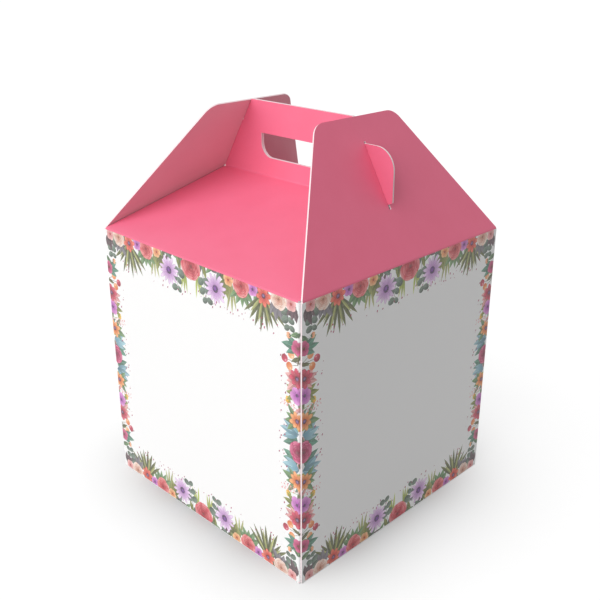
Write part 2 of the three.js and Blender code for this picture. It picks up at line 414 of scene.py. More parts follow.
def ear_side():
    """The right edge of the front handle panel, up its slanted side and round its ear."""
    depth = BOARD + GAP
    foot_x = HALF - EAR_START * math.sin(LEAN) - depth * math.cos(LEAN)
    foot_z = WALL_TOP + EAR_START * math.cos(LEAN) - depth * math.sin(LEAN)
    radius = math.hypot(EAR_START, depth)
    foot_angle = math.atan2(foot_z - WALL_TOP, foot_x - HALF)
    outer_angle = math.acos((EAR_SIDE - HALF) / radius)
    lower = arc(HALF, WALL_TOP, radius, foot_angle, outer_angle, 6)
    upper = arc(EAR_SIDE - EAR_CORNER, EAR_TOP - EAR_CORNER, EAR_CORNER, 0, math.pi / 2)
    return [*lower, *upper, (edge_x(EAR_TOP), EAR_TOP)]


def handles():
    """The two handle panels with the hand hole. The front one has the ears."""
    start = RIDGE_HEIGHT + FOLD
    right = [(edge_x(start), start)]
    top = [(edge_x(HANDLE_TOP), HANDLE_TOP)]
    eared = right + ear_side() + top
    plain = right + top
    for side, half, body, nodes in (
        (-1, eared, "front_handle", ("handle_front", "ear_left", "ear_right")),
        (1, plain, "back_handle", ("handle_back",)),
    ):
        outline = half + [(-a, b) for a, b in reversed(half)]
        u = -side * X
        origin = Vector((0, side * RIDGE, 0))
        board(body + "_board", outline, origin, u, Z, body, nodes, holes=[hole_outline()])


def hand_flap():
    """The flap of the hand hole, folded up flat behind the back handle panel."""
    origin = Vector((0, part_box("hand_flap")[1].y, 0))
    board("hand_flap_board", hole_outline(GAP, True), origin, -X, Z, "hole_flap", ["hand_flap"])


def roofs():
    """The sloping front and back panels of the lid."""
    length = math.hypot(HALF - RIDGE, RIDGE_HEIGHT - WALL_TOP)
    mitre = BOARD * math.tan((math.pi / 2 - SLOPE) / 2)
    ends = [FOLD, length - FOLD]
    right = [(edge_x(WALL_TOP + s * math.sin(SLOPE)), s) for s in ends]
    outline = right + [(-a, b) for a, b in reversed(right)]
    for side, name in ((-1, "front"), (1, "back")):
        up = Vector((0, -side * math.cos(SLOPE), math.sin(SLOPE)))
        origin = Vector((0, side * HALF, WALL_TOP))
        body = name + "_roof"
        board(body + "_board", outline, origin, -side * X, up, body, ["roof_" + name], mitre=mitre)


def gables():
    """The leaning panels, with two rounded corners and a slit for the ear."""
    length = (HANDLE_TOP - WALL_TOP) / math.cos(LEAN)
    half = HALF - BOARD
    top_half = GABLE_TOP_WIDTH / 2
    edge_angle = math.atan2(length, half - top_half)
    centre = top_half - GABLE_CORNER * math.tan(edge_angle / 2)
    inset = FOLD * (half - top_half) / length
    corner = arc(centre, length - GABLE_CORNER, GABLE_CORNER, math.pi / 2 - edge_angle, math.pi / 2)
    right = [(half - inset, FOLD), *corner]
    outline = right + [(-a, b) for a, b in reversed(right)]
    slit_end = (EAR_TOP - WALL_TOP + (BOARD + GAP) * math.sin(LEAN)) / math.cos(LEAN) + 2 * GAP
    for side, name in ((-1, "left"), (1, "right")):
        slit_sides = (-side * (RIDGE + GAP), side * GAP / 2)
        slit = [(a, b) for b in (EAR_START - SLIT_OVERRUN, slit_end) for a in slit_sides]
        slit[2:] = slit[:1:-1]
        up = Vector((-side * math.sin(LEAN), 0, math.cos(LEAN)))
        origin = Vector((side * HALF, 0, WALL_TOP))
        board(
            name + "_gable_board",
            outline,
            origin,
            side * Y,
            up,
            name + "_gable",
            ["gable_" + name],
            holes=[slit],
            mitre=BOARD * math.tan(LEAN / 2),
        )


def lid_crease(name, corner, first, second, axis, half, bodies, valley=False):
    """A pink crease, which runs half its length to each side of the middle."""
    fold(name, corner, first, second, axis, -half, half, PINK, "pink_board", bodies, valley)


def lid_folds():
    """The creases that join the walls, the roof panels, the gables and the handle panels."""
    shy = 0.5 * MM  # how far a crease stops short of its neighbours
    roof_half = edge_x(WALL_TOP + FOLD) - shy
    handle_half = edge_x(RIDGE_HEIGHT + FOLD)
    for side, name in ((-1, "front"), (1, "back")):
        up = Vector((0, -side * math.cos(SLOPE), math.sin(SLOPE)))
        roof = name + "_roof"
        foot = Vector((0, side * HALF, WALL_TOP))
        lid_crease(roof + "_crease", foot, -Z, up, X, roof_half, ["carton", roof])
        handle = name + "_handle"
        ridge = Vector((0, side * RIDGE, RIDGE_HEIGHT))
        lid_crease(handle + "_crease", ridge, -up, Z, X, handle_half, [roof, handle], valley=True)
    for side, name in ((-1, "left"), (1, "right")):
        up = Vector((-side * math.sin(LEAN), 0, math.cos(LEAN)))
        gable = name + "_gable"
        foot = Vector((side * HALF, 0, WALL_TOP))
        lid_crease(gable + "_crease", foot, -Z, up, Y, HALF - BOARD - shy, ["carton", gable])


# ---- The printed border --------------------------------------------------------------------------

WALL = 2 * HALF / MM  # the side of the square that the border is drawn on, in millimetres
BORDER_SEED = 11
ROSE_RINGS = 5
BLOSSOM_PETALS = 5
LEAF_PAIRS = 3  # on a round-leaved sprig
DROP_SIZE = 0.75  # of a splash of ink and of a tiny bell
BARE_PAPER = (0.93, 0.92, 0.91, 0)


def unit(angle):
    return Vector((math.cos(angle), math.sin(angle)))


def at(x, drop):
    """A place on the flat wall, from its left edge and down from its top edge."""
    return Vector((x, WALL - drop))


def between(first, second, share):
    """The colour that lies between two colours by a share of the second."""
    return [a + (b - a) * share for a, b in zip(first, second)]


def blade(base, angle, length, width, bend=0.0, full=1.0, blunt=1.0, steps=6):
    """The outline of a leaf or petal from its base to its tip: its left side, then its right.
    Full moves its widest place, and a low blunt rounds its tip."""
    left, right = [], []
    for i in range(steps + 1):
        t = 1 - (1 - i / steps) ** (1.6 if blunt < 1 else 1)
        spine = base + length * t * unit(angle + bend * (t - 1) / 2)
        half = width / 2 * math.sin(math.pi * t**full) ** blunt if 0 < i < steps else 0
        across = half * unit(angle + bend * (t - 0.5) + math.pi / 2)
        left.append(spine + across)
        right.append(spine - across)
    return left + right[-2:0:-1]


class Border:
    """Patches of ink on a flat wall, in millimetres from its lower left corner. A later patch
    covers an earlier one."""

    def __init__(self, seed):
        self.patches = []
        self.dice = random.Random(seed)

    def vary(self, value, share=0.12):
        return value * self.dice.uniform(1 - share, 1 + share)

    def tone(self, colour, share=0.10):
        """The colour, a little lighter or darker."""
        factor = self.vary(1, share)
        return [min(1, c * factor) for c in colour]

    def patch(self, outline, near, far, start, end):
        """Ink that turns from near, at start, to far, at end."""
        self.patches.append((outline, near, far, start, end))

    def disc(self, centre, radius, near, far, squash=1.0, turn=0.0, sides=10):
        points = []
        for i in range(sides):
            a = 2 * math.pi * i / sides
            long, short = radius * math.cos(a), radius * squash * math.sin(a)
            points.append(centre + long * unit(turn) + short * unit(turn + math.pi / 2))
        light = unit(math.radians(125)) * radius
        self.patch(points, near, far, centre - light, centre + light)

    def stem(self, points, width, colour):
        """A thin line through the points, which thins towards its end."""
        left, right = [], []
        for i, point in enumerate(points):
            ahead = points[min(i + 1, len(points) - 1)] - points[max(i - 1, 0)]
            half = width / 2 * (1 - 0.6 * i / (len(points) - 1))
            across = half * Vector((-ahead.y, ahead.x)).normalized()
            left.append(point + across)
            right.append(point - across)
        self.patch(left + right[::-1], colour, self.tone(colour, 0.2), points[0], points[-1])

    def bough(self, base, angle, length, bend, steps=5):
        """Points along a bent twig."""
        shares = [i / steps for i in range(steps + 1)]
        return [base + length * t * unit(angle + bend * (t - 1) / 2) for t in shares]

    def leaf(self, base, angle, length, width, inks, bend=0.0):
        """A leaf in three washes: the blade, its shaded half and a pale midrib."""
        dark, light = self.tone(inks[0], 0.2), self.tone(inks[1])
        outline = blade(base, angle, length, width, bend, 0.85)
        tip = base + length * unit(angle)
        self.patch(outline, dark, light, base, tip)
        spine = self.bough(base, angle, length, bend, 6)
        half = outline[:7] + spine[-2:0:-1]
        self.patch(half, [0.55 * c for c in dark], between(dark, light, 0.6), base, tip)
        rib = blade(base, angle, 0.9 * length, max(0.07 * width, 0.22), bend, steps=4)
        self.patch(rib, between(light, inks[1], 0.5), light, base, tip)

    def leaves(self, base, angles, length, width, inks, bend=0.0):
        for angle in angles:
            size = self.vary(length, 0.18)
            self.leaf(base, math.radians(angle), size, self.vary(width), inks, self.vary(bend, 0.5))

    def thicket(self, start, end, heading, count, length, width, kinds):
        """Leaves that crowd a stretch of the edge, each on its own side of the heading."""
        for i in range(count):
            base = start.lerp(end, (i + self.dice.random()) / count)
            angle = math.radians(heading + self.dice.uniform(-68, 68))
            bend = self.dice.uniform(-0.5, 0.5)
            size = self.vary(length, 0.3)
            self.leaf(base, angle, size, self.vary(width, 0.2), kinds[i % len(kinds)], bend)

    def blades(self, base, angles, length, width, inks, bend=0.0):
        """Slim grass or palm blades from one place."""
        for angle in angles:
            size = self.vary(length, 0.12)
            a = math.radians(angle + self.dice.uniform(-2, 2))
            tip = base + size * unit(a)
            outline = blade(base, a, size, self.vary(width), bend, 1.1, steps=5)
            near, far = self.tone(inks[0], 0.2), self.tone(inks[1], 0.15)
            self.patch(outline, near, far, base, tip)
            shade = outline[:6] + self.bough(base, a, size, bend, 5)[-2:0:-1]
            self.patch(shade, [0.5 * c for c in near], between(near, far, 0.6), base, tip)

    def rounds(self, base, angle, length, inks, size):
        """A sprig with pairs of round leaves."""
        twig = self.bough(base, math.radians(angle), length, 0.4, LEAF_PAIRS)
        self.stem(twig, 0.7, [0.5 * c for c in inks[0]])
        for i, point in enumerate(twig[1:]):
            for side in (-1, 1):
                radius = self.vary(size * (1 - 0.09 * i), 0.15)
                out = math.radians(angle + side * 62)
                centre = point + radius * 0.95 * unit(out)
                dark = self.tone(inks[0], 0.35)
                self.disc(centre, radius, dark, self.tone(inks[1]), 0.8, out)
                rib = blade(point, out, 1.6 * radius, 0.3, steps=3)
                self.patch(rib, inks[1], inks[1], point, centre)

    def daisy(self, centre, radius, count, inks, eye, start, fullness):
        """Two rings of petals round a dark eye. Each petal has a darker rim and two veins."""
        for ring, share in ((0, 1.0), (1, 0.9)):
            for i in range(count):
                a = start + 2 * math.pi * (i + 0.5 * ring) / count + self.dice.uniform(-0.05, 0.05)
                size = self.vary(radius * share, 0.07)
                width = fullness * 0.6 * math.pi * radius * share / count
                near, far = self.tone(inks[0]), self.tone(inks[1], 0.06)
                tip = centre + size * unit(a)
                rim = blade(centre, a, size + 0.25, width + 0.5, 0.0, 1.3, 0.55)
                self.patch(rim, [0.7 * c for c in near], near, centre, tip)
                petal = blade(centre, a, size, width, 0.0, 1.3, 0.55)
                along = size * unit(a)
                self.patch(petal, near, far, centre + 0.2 * along, centre + 0.8 * along)
                for lean in (-0.35, 0.35):
                    heading = a + lean * width / size
                    vein = blade(centre, heading, 0.8 * size, 0.32, steps=3)
                    self.patch(vein, [0.7 * c for c in near], between(near, far, 0.4), centre, tip)
        rim, core = eye
        for i in range(12):
            a = 2 * math.pi * i / 12
            self.disc(centre + 0.21 * radius * unit(a), 0.055 * radius, rim, rim, sides=5)
        self.disc(centre, 0.19 * radius, rim, core, sides=14)
        self.disc(centre, 0.11 * radius, core, [min(1, 1.5 * c) for c in core], sides=9)

    def rose(self, centre, radius, inks, start):
        """Rings of broad petals with pale rims and deep lines between them. Each ring is smaller,
        turned and deeper in colour."""
        deep, mid, pale = inks
        for ring in range(ROSE_RINGS):
            count = 7 - ring
            blend = ring / (ROSE_RINGS - 1)
            foot_ink = between(mid, deep, blend)
            rim_ink = between(pale, mid, blend)
            for i in range(count):
                a = start + 2 * math.pi * (i + 0.45 * ring) / count + self.dice.uniform(-0.12, 0.12)
                size = self.vary(radius * (1 - 0.18 * ring), 0.06)
                tip = centre + size * unit(a)
                line = blade(centre, a, size + 0.25, 1.25 * size + 0.5, 0.2, 1.7, 0.55, 8)
                self.patch(line, deep, between(mid, deep, 0.25 + 0.7 * blend), centre, tip)
                petal = blade(centre, a, size, 1.25 * size, 0.2, 1.7, 0.55, 8)
                foot = centre + 0.74 * size * unit(a)
                self.patch(petal, self.tone(foot_ink, 0.08), self.tone(rim_ink, 0.06), foot, tip)
        for i in range(4):
            a = start + 1.6 * i
            curl = blade(centre - 0.1 * radius * unit(a), a, 0.26 * radius, 0.12 * radius, 0.9)
            self.patch(curl, [0.6 * c for c in deep], deep, centre, centre + radius * unit(a))

    def blossom(self, centre, radius, inks, eye):
        """A small open flower with broad petals."""
        for i in range(BLOSSOM_PETALS):
            a = 0.3 + 2 * math.pi * i / BLOSSOM_PETALS + self.dice.uniform(-0.1, 0.1)
            size = self.vary(radius, 0.1)
            tip = centre + size * unit(a)
            petal = blade(centre, a, size, 1.0 * size, 0.1, 1.5, 0.6)
            self.patch(petal, self.tone(inks[0]), self.tone(inks[1]), centre, tip)
            half = petal[:7] + self.bough(centre, a, size, 0.1, 6)[-2:0:-1]
            self.patch(half, [0.8 * c for c in inks[0]], self.tone(inks[1]), centre, tip)
            vein = blade(centre, a, 0.6 * size, 0.35, steps=3)
            self.patch(vein, [0.5 * c for c in inks[0]], inks[0], centre, tip)
        self.disc(centre, 0.2 * radius, eye, [1.4 * c for c in eye])

    def bud(self, centre, angle, size, inks, green):
        """A closed bud on its stem, in a cup of two sepals."""
        heading = math.radians(angle)
        base = centre - 0.6 * size * unit(heading)
        foot = base - 2.2 * size * unit(heading + 0.2)
        self.stem(self.bough(foot, heading, 2.3 * size, 0.2), 0.6, green)
        for lean in (-0.35, 0.35, 0):
            petal = blade(base, heading + lean, 1.5 * size, 0.95 * size, 0.0, 1.1, 0.7)
            tip = base + 1.5 * size * unit(heading)
            self.patch(petal, self.tone(inks[0]), self.tone(inks[1]), base, tip)
        for lean in (-0.5, 0.5):
            cup = blade(base, heading + lean, 0.8 * size, 0.35 * size)
            self.patch(cup, green, self.tone(green, 0.3), base, centre)

    def spray(self, base, angle, length, inks, count):
        """A light twig with tiny bells."""
        twig = self.bough(base, math.radians(angle), length, 0.5, count)
        self.stem(twig, 0.35, inks[0])
        for i, point in enumerate(twig[1:]):
            for side in (-1, 1):
                out = math.radians(angle + side * 55)
                tip = point + self.vary(2.2, 0.3) * unit(out)
                self.stem([point, tip], 0.25, inks[0])
                bell = self.vary(DROP_SIZE, 0.3)
                self.disc(tip, bell, self.tone(inks[0]), self.tone(inks[1]), sides=7)

    def dots(self, low, high, count, colour):
        """Splashes of ink, each drawn out a little."""
        for _ in range(count):
            spot = Vector([self.dice.uniform(a, b) for a, b in zip(low, high)])
            turn = self.dice.uniform(0.5, 1.5)
            ink_tone = self.tone(colour, 0.3)
            self.disc(spot, self.vary(DROP_SIZE, 0.6), ink_tone, colour, 0.6, turn, sides=6)

    def half_turned(self):
        """The same patches, turned half a turn about the middle of the wall."""
        middle = Vector((WALL, WALL))
        return [
            ([middle - point for point in outline], near, far, middle - start, middle - end)
            for outline, near, far, start, end in self.patches
        ]


OLIVE = (ink("5f6b2b"), ink("b0b566"))
PALE_OLIVE = (ink("9ba35b"), ink("d5d69a"))
DARK_OLIVE = (ink("3a4522"), ink("848a52"))
LIME = (ink("93ad44"), ink("d8dd86"))
GREEN = (ink("3a6b45"), ink("98b986"))
TEAL = (ink("24614f"), ink("7db29c"))
SKY = (ink("6ba5bb"), ink("c0dfe6"))
GUM = (ink("3d5246"), ink("91a596"))
DUSK = (ink("565059"), ink("a39ea6"))
PLUM = (ink("3c2832"), ink("7f626d"))
TWIG = ink("6e5f34")
CORAL_ROSE = (ink("ae1f33"), ink("e4566a"), ink("f9bcbb"))
SALMON_ROSE = (ink("b93340"), ink("ea7078"), ink("fbc6bf"))
PEACH_ROSE = (ink("cf917a"), ink("f6d9ca"), ink("fef7f2"))
PEONY = (ink("8c1446"), ink("d0417c"), ink("f2a0c0"))
LILAC = (ink("cb97d6"), ink("f5e1f7"))
VIOLET_EYE = (ink("2c1440"), ink("7d3f9c"))
ORANGE = (ink("e06f30"), ink("fcc48a"))
CORAL = (ink("cf3037"), ink("f58f76"))
MAGENTA = (ink("ad1560"), ink("e877a6"))
CRIMSON = (ink("a3123a"), ink("e8607f"))
PURPLE = (ink("b545b8"), ink("efb2e6"))
BLUSH = (ink("e68a92"), ink("fbd0cc"))
PEACH = (ink("ee9252"), ink("fcd5a9"))
YELLOW = (ink("e08a1c"), ink("fbdc6e"))
DARK_EYE = (ink("35142c"), ink("8f6a9c"))
RUST_EYE, PLUM_EYE, BROWN_EYE = ink("a8402e"), ink("5a2360"), ink("6a3216")
SHINE = ink("fff6ee")


class Edge:
    """Places and headings along the top or the left edge, from its middle out to one side."""

    def __init__(self, upright, side):
        self.upright = upright
        self.side = side

    def spot(self, away, depth):
        along = WALL / 2 + self.side * away
        return at(depth, along) if self.upright else at(along, depth)

    def aim(self, *angles):
        """Headings that lean outwards from straight in by each angle."""
        if self.upright:
            return [-self.side * angle for angle in angles]
        return [270 + self.side * angle for angle in angles]


def berries(art, edge, away):
    """Three round berries on twigs from one place on the edge."""
    foot = edge.spot(away, 0)
    radius = 3.4
    towards_light = Vector((-1.0, 1.2))
    for step, depth, inks in ((-5, 12, ORANGE), (0, 17, CRIMSON), (5, 10, PEACH)):
        centre = edge.spot(away + step, depth)
        art.stem([foot, foot.lerp(centre, 0.5), centre], 0.6, TWIG)
        art.disc(centre, radius, *inks, sides=14)
        art.disc(centre + towards_light, 0.8, inks[1], SHINE, sides=6)


def half_top(art, edge):
    """One half of the top garland, from the middle out to the corner."""
    greens = (DARK_OLIVE, GUM, OLIVE, PLUM, GREEN)
    art.thicket(edge.spot(4, -3), edge.spot(119, -1), edge.aim(0)[0], 22, 14, 4.6, greens)
    art.blades(edge.spot(8, 5), edge.aim(-6, 6, 16), 25, 2.6, LIME, 0.1)
    art.rounds(edge.spot(15, 4), edge.aim(10)[0], 24, GUM, 4.4)
    art.leaves(edge.spot(42, 4), edge.aim(-30, -8, 14, 36), 17, 5.5, OLIVE)
    art.blades(edge.spot(50, 4), edge.aim(-12, 0, 12), 27, 2.6, PALE_OLIVE)
    art.leaves(edge.spot(62, 6), edge.aim(-52, -26, 0, 26, 52), 17, 6, GREEN)
    art.blades(edge.spot(86, 5), edge.aim(-48, -34, -20, -6, 8, 22, 36, 50), 30, 3.7, DARK_OLIVE)
    art.blades(edge.spot(86, 5), edge.aim(-41, -14, 15, 43), 26, 2.5, PALE_OLIVE)
    art.leaves(edge.spot(101, 4), edge.aim(-30, -6, 18, 42), 17, 7, DUSK, 0.2)
    art.rounds(edge.spot(112, 3), edge.aim(4)[0], 19, GUM, 4.0)
    art.leaves(edge.spot(119, 5), edge.aim(-44, -18, 8), 14, 5.5, PLUM)
    art.daisy(edge.spot(30, 16), 13.5, 7, LILAC, VIOLET_EYE, 0.2, 0.92)
    art.blossom(edge.spot(46, 4), 5.5, PEACH, RUST_EYE)
    art.blossom(edge.spot(74, 4), 6.0, PURPLE, PLUM_EYE)
    art.rose(edge.spot(61, 5), 9.0, SALMON_ROSE, 0.4)
    art.daisy(edge.spot(86, 6), 8.5, 4, CORAL, DARK_EYE, 0.2, 1.0)
    art.blossom(edge.spot(115, 4), 5.5, BLUSH, RUST_EYE)
    art.rose(edge.spot(102, 4), 8.0, PEACH_ROSE, 0.2)


def half_left(art, edge):
    """One half of the left garland, which is narrower, from the middle out to the corner."""
    greens = (GREEN, BLUSH, DARK_OLIVE, LIME, TEAL)
    art.thicket(edge.spot(2, -2), edge.spot(100, -1), edge.aim(0)[0], 16, 11, 4.0, greens)
    art.leaves(edge.spot(9, 3), edge.aim(-20, 4, 28), 16, 6.5, TEAL, 0.2)
    art.leaves(edge.spot(16, 2), edge.aim(-24, 0, 24), 18, 7.5, SKY, 0.2)
    art.leaves(edge.spot(27, 4), edge.aim(-46, -14, 18, 50), 15, 5.5, GREEN)
    art.spray(edge.spot(37, 3), edge.aim(4)[0], 17, BLUSH, 5)
    art.bud(edge.spot(42, 13), edge.aim(10)[0], 4.0, YELLOW, LIME[0])
    art.leaves(edge.spot(50, 4), edge.aim(-36, -6, 24, 54), 14, 5.0, OLIVE)
    art.leaves(edge.spot(62, 4), edge.aim(-48, -20, 8, 36), 14, 6.0, BLUSH)
    berries(art, edge, 76)
    art.leaves(edge.spot(88, 2), edge.aim(-28, 0, 28), 16, 6.0, TEAL, 0.2)
    art.bud(edge.spot(96, 12), edge.aim(-6)[0], 3.4, (CORAL[1], PEACH[1]), GREEN[0])
    art.daisy(edge.spot(27, 4), 8.5, 4, ORANGE, DARK_EYE, 0.3, 1.0)
    art.blossom(edge.spot(49, 4), 7.5, PURPLE, PLUM_EYE)
    art.daisy(edge.spot(63, 4), 8.5, 4, CRIMSON, DARK_EYE, 0.1, 1.1)
    art.blossom(edge.spot(88, 3), 6.5, MAGENTA, BROWN_EYE)


def draw_border():
    """The whole border. Both garlands are mirrored about their middle, where the largest rose
    sits, and the right and bottom ones are the same, turned half round."""
    art = Border(BORDER_SEED)
    for side in (-1, 1):
        half_left(art, Edge(True, side))
    art.rose(at(3, WALL / 2), 9.0, PEONY, 0.7)
    for side in (-1, 1):
        half_top(art, Edge(False, side))
    art.dots((20, WALL - 34), (WALL - 20, WALL - 24), 50, MAGENTA[0])
    art.dots((14, 40), (24, WALL - 40), 40, MAGENTA[0])
    art.rose(at(WALL / 2, 5), 12, CORAL_ROSE, 1.0)
    return art.patches + art.half_turned()


def inside(spots, ring):
    """Which spots lie inside the closed ring of points."""
    x, y = spots[:, :1], spots[:, 1:]
    ax, ay = ring.T
    bx, by = np.roll(ring, -1, axis=0).T
    spans = (ay > y) != (by > y)
    rise = np.where(by == ay, 1, by - ay)
    crossings = spans & (x < ax + (y - ay) * (bx - ax) / rise)
    return crossings.sum(axis=1) % 2 == 1


def topmost(spots, patches):
    """The topmost patch over each spot, or None where the paper is bare."""
    ranks = np.full(len(spots), -1)
    for rank, (outline, *_) in enumerate(patches):
        ring = np.array([tuple(point) for point in outline])
        near = np.all((spots > ring.min(axis=0)) & (spots < ring.max(axis=0)), axis=1)
        chosen = np.flatnonzero(near)
        ranks[chosen[inside(spots[chosen], ring)]] = rank
    return [patches[rank] if rank >= 0 else None for rank in ranks]


def inked_map(patches, cuts):
    """The wall's square cut along every patch, and straight across at each cut, both ways: its
    points, and its triangles, each with its middle and the topmost patch on it."""
    points, edges = [], []
    for cut in (0, *cuts, WALL):
        edges += [(len(points), len(points) + 1), (len(points) + 2, len(points) + 3)]
        points += [Vector(p) for p in ((cut, 0), (cut, WALL), (0, cut), (WALL, cut))]
    for outline, *_ in patches:
        ring = range(len(points), len(points) + len(outline))
        edges += zip(ring, [*ring[1:], ring[0]])
        points += outline
    cut_points, _, triangles, *_ = delaunay_2d_cdt(points, edges, [], 0, 1e-4, False)
    corners = np.array([tuple(point) for point in cut_points])
    middles = corners[np.array(triangles)].mean(axis=1)
    return cut_points, list(zip(triangles, middles, topmost(middles, patches)))


def ink_at(point, patch):
    """The colour and the coverage of a patch at a point."""
    if patch is None:
        return BARE_PAPER
    _, near, far, start, end = patch
    along = end - start
    share = min(1, max(0, (point - start).dot(along) / along.length_squared))
    return (*between(near, far, share), 1)


# ---- Walls ---------------------------------------------------------------------------------------


def wall(name, outward, along, outer, inner, border, node):
    """A printed wall. Its outer and inner faces are rectangles [left, right, low, high] in metres,
    with left and right measured along the wall from its left end, as seen from outside."""
    points, triangles = border
    left, right, low, high = outer
    corner = HALF * outward - HALF * along

    tall = WALL_TOP / (2 * HALF)
    bm = bmesh.new()
    inks = bm.loops.layers.float_color.new("ink")
    verts = [bm.verts.new(corner + p.x * MM * along + p.y * MM * tall * Z) for p in points]
    for corners, middle, patch in triangles:
        x, z = middle * MM
        if left < x < right and low < z * tall < high:
            face = bm.faces.new([verts[i] for i in corners])
            for loop, i in zip(face.loops, corners):
                loop[inks] = ink_at(points[i], patch)
    bmesh.ops.delete(bm, geom=[vert for vert in bm.verts if not vert.link_faces], context="VERTS")
    rim = [edge for edge in bm.edges if edge.is_boundary]
    made = bmesh.ops.extrude_edge_only(bm, edges=rim)["geom"]
    back = [part for part in made if isinstance(part, bmesh.types.BMVert)]
    for vert in back:
        x = ((vert.co - corner).dot(along) - left) / (right - left)
        z = (vert.co.z - low) / (high - low)
        inner_x = inner[0] + x * (inner[1] - inner[0])
        inner_z = inner[2] + z * (inner[3] - inner[2])
        vert.co = corner - BOARD * outward + inner_x * along + inner_z * Z
    back_rim = [edge for edge in bm.edges if edge.is_boundary]
    bmesh.ops.holes_fill(bm, edges=back_rim, sides=0)
    bm.normal_update()
    bmesh.ops.recalc_face_normals(bm, faces=bm.faces[:])
    for face in bm.faces:
        facing = face.normal.dot(outward)
        face.material_index = 0 if facing > 0.99 else 2 if facing < -0.99 else 1
    return piece(name, bm, [PRINTED, EDGE, REVERSE], "carton", [node])


def walls(patches):
    """The four printed walls, which all carry the same border."""
    far_cuts = [2 * HALF - cut for cut in (FOLD, CORNER_FOLD, BOARD + CORNER_FOLD)]
    cuts = [FOLD, RAW_EDGE_SETBACK, CORNER_FOLD, *far_cuts]
    border = inked_map(patches, [cut / MM for cut in cuts])
    folded, turned = CORNER_FOLD, CORNER_FOLD + BOARD
    roof_mitre = BOARD * math.tan((math.pi / 2 - SLOPE) / 2)
    gable_mitre = BOARD * math.tan(LEAN / 2)
    width = 2 * HALF
    high = WALL_TOP - FOLD
    for name, outward, along, foot, mitre in (
        ("front", -Y, X, BOARD, roof_mitre),
        ("right", X, Y, FLAP_TOPS["right"], gable_mitre),
        ("back", Y, -X, FLAP_TOPS["back"], roof_mitre),
        ("left", -X, -Y, FLAP_TOPS["left"], gable_mitre),
    ):
        outer = [folded, width - folded, FOLD, high]
        inner = [turned, width - turned, foot + FOLD, high - mitre]
        if name == "front":  # it turns in behind the right wall
            outer[1] -= BOARD
            inner[1] -= BOARD
        if name == "right":  # it starts with a raw edge, just behind the fold
            outer[0] = inner[0] = RAW_EDGE_SETBACK
        wall(name + "_wall_board", outward, along, outer, inner, border, name + "_wall")


def fold_dye(corner, first, second, alongs, patches):
    """Carries the print of the two walls on to the fold between them."""

    def dye(bm):
        upright = [edge for edge in bm.edges if abs(edge.verts[0].co.z - edge.verts[1].co.z) > FOLD]
        bmesh.ops.subdivide_edges(bm, edges=upright, cuts=FOLD_ROWS, use_grid_fill=True)
        inks = bm.loops.layers.float_color.new("ink")
        loops = [loop for face in bm.faces if face.material_index == 0 for loop in face.loops]
        spots = []
        for loop in loops:
            point = loop.vert.co
            nearer_first = (point - corner).dot(first) >= (point - corner).dot(second)
            x = (point.dot(alongs[0] if nearer_first else alongs[1]) + HALF) / MM
            spots.append(Vector((min(max(x, 0.1), WALL - 0.1), point.z / MM * 2 * HALF / WALL_TOP)))
        over = topmost(np.array([tuple(spot) for spot in spots]), patches)
        for loop, spot, patch in zip(loops, spots, over):
            loop[inks] = ink_at(spot, patch)

    return dye


def corner_folds(patches):
    """The rounded folds between the walls, and the glue flap inside the right wall."""
    low, high = 0.3 * MM, WALL_TOP - FOLD
    for name, corner, first, second, alongs in (
        ("front_left_fold", Vector((-HALF, -HALF, 0)), X, Y, (X, -Y)),
        ("back_left_fold", Vector((-HALF, HALF, 0)), X, -Y, (-X, -Y)),
        ("back_right_fold", Vector((HALF, HALF, 0)), -X, -Y, (-X, Y)),
        ("front_right_fold", Vector((HALF - BOARD, -HALF, 0)), -X, Y, (X, X)),
    ):
        dye = fold_dye(corner, first, second, alongs, patches)
        place = (corner, first, second, Z, low, high)
        fold(name, *place, PRINTED, "printed_board", ["carton"], dye=dye, reach=CORNER_FOLD)
    bottom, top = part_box("glue_flap")[0].z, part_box("glue_flap")[1].z
    start = CORNER_FOLD + BOARD - HALF
    outline = [
        (start, bottom),
        (GLUE_FLAP_END, bottom + GLUE_FLAP_TAPER),
        (GLUE_FLAP_END, top - GLUE_FLAP_TAPER),
        (start, top),
    ]
    origin = Vector((HALF - BOARD, 0, 0))
    board("glue_flap_board", outline, origin, Y, Z, "carton", ["glue_flap"], outer=WHITE)


def bottom():
    """The locked bottom flaps, and the folds that carry them from the walls' lower edges."""
    for name, outward, along in (("front", -Y, X), ("right", X, Y), ("back", Y, X), ("left", -X, Y)):
        node = "bottom_flap_" + name
        top = BOARD if name == "front" else FLAP_TOPS[name]
        outer = HALF * outward
        inner = (HALF - BOARD) * outward
        end = (HALF - BOARD - GAP) * outward
        under = bezier(outer + FOLD * Z, outer, outer - FOLD * outward)
        over = bezier(inner + (top + FOLD) * Z, inner + top * Z, end + top * Z)
        reach = HALF - BOARD - GAP
        lower = under + [end + (top - BOARD) * Z]
        made = strip(node + "_fold", lower, over, along, -reach, reach, WHITE)
        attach(made, "carton")

        bm = bmesh.new()
        bm.from_mesh(frame["nodes"][node].data)
        bmesh.ops.remove_doubles(bm, verts=bm.verts[:], dist=0.001 * MM)
        bmesh.ops.dissolve_limit(
            bm, angle_limit=math.radians(1), verts=bm.verts[:], edges=bm.edges[:]
        )
        soften(bm, -Z)
        piece(node + "_board", bm, [WHITE, EDGE, REVERSE], "carton", [node])


# ---- Stage ---------------------------------------------------------------------------------------

CAMERA_AZIMUTH = math.radians(44.94)
CAMERA_ELEVATION = math.radians(22.43)
CAMERA_DISTANCE = 0.7947
CAMERA_TARGET = Vector((-0.0003, -0.0003, 0.1793))
CAMERA_LENS = 51.33

